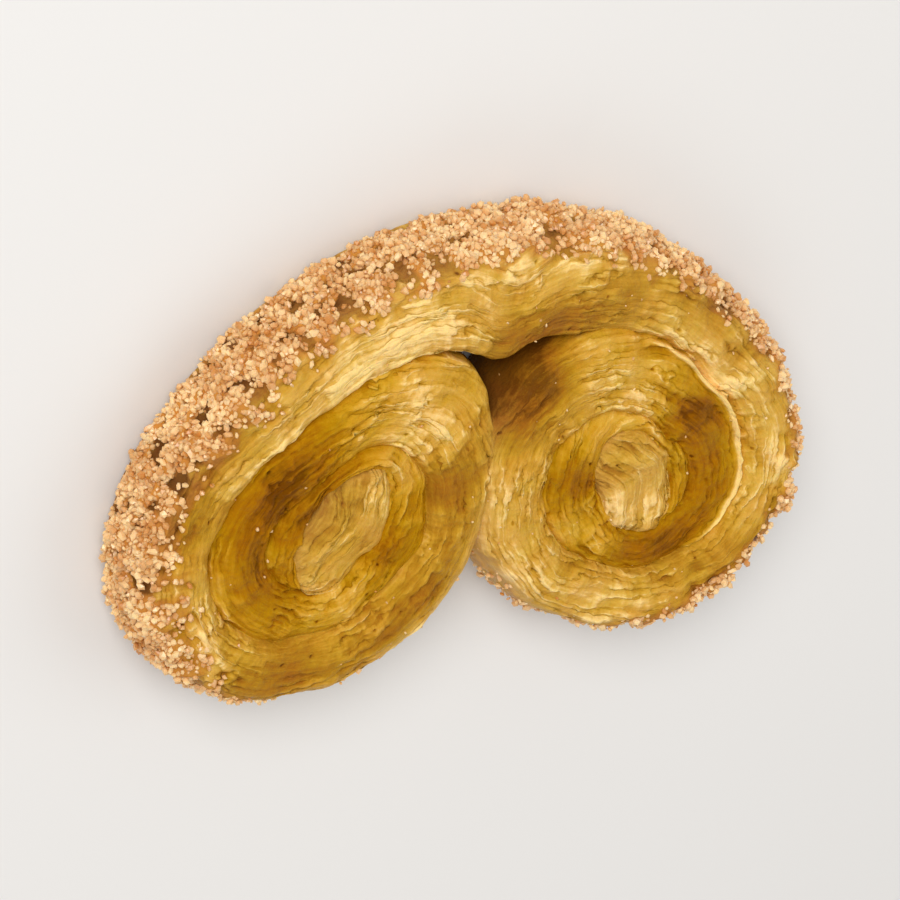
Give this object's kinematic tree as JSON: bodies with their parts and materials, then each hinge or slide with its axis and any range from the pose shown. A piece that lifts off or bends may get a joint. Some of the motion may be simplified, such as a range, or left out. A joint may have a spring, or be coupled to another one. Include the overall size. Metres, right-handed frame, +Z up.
{
  "type": "palmier pastry",
  "caption": "Heart-like puff pastry slice, rolled up from both ends under one arch, with layered spiral faces and a coarse sugar crust on its rim.",
  "frame": {"origin": "middle of the outline on the flat underside that the pastry rests on", "axes": "+Z up through the shown spiral face, +X across the two rolls, +Y towards the arch that joins them"},
  "size_m": [0.0668, 0.0432, 0.0093],
  "materials": {
    "palmier": "golden baked puff pastry, satin caramelised turns"
  },
  "bodies": {
    "root": {"palmier": "palmier"}
  },
  "joints": []
}
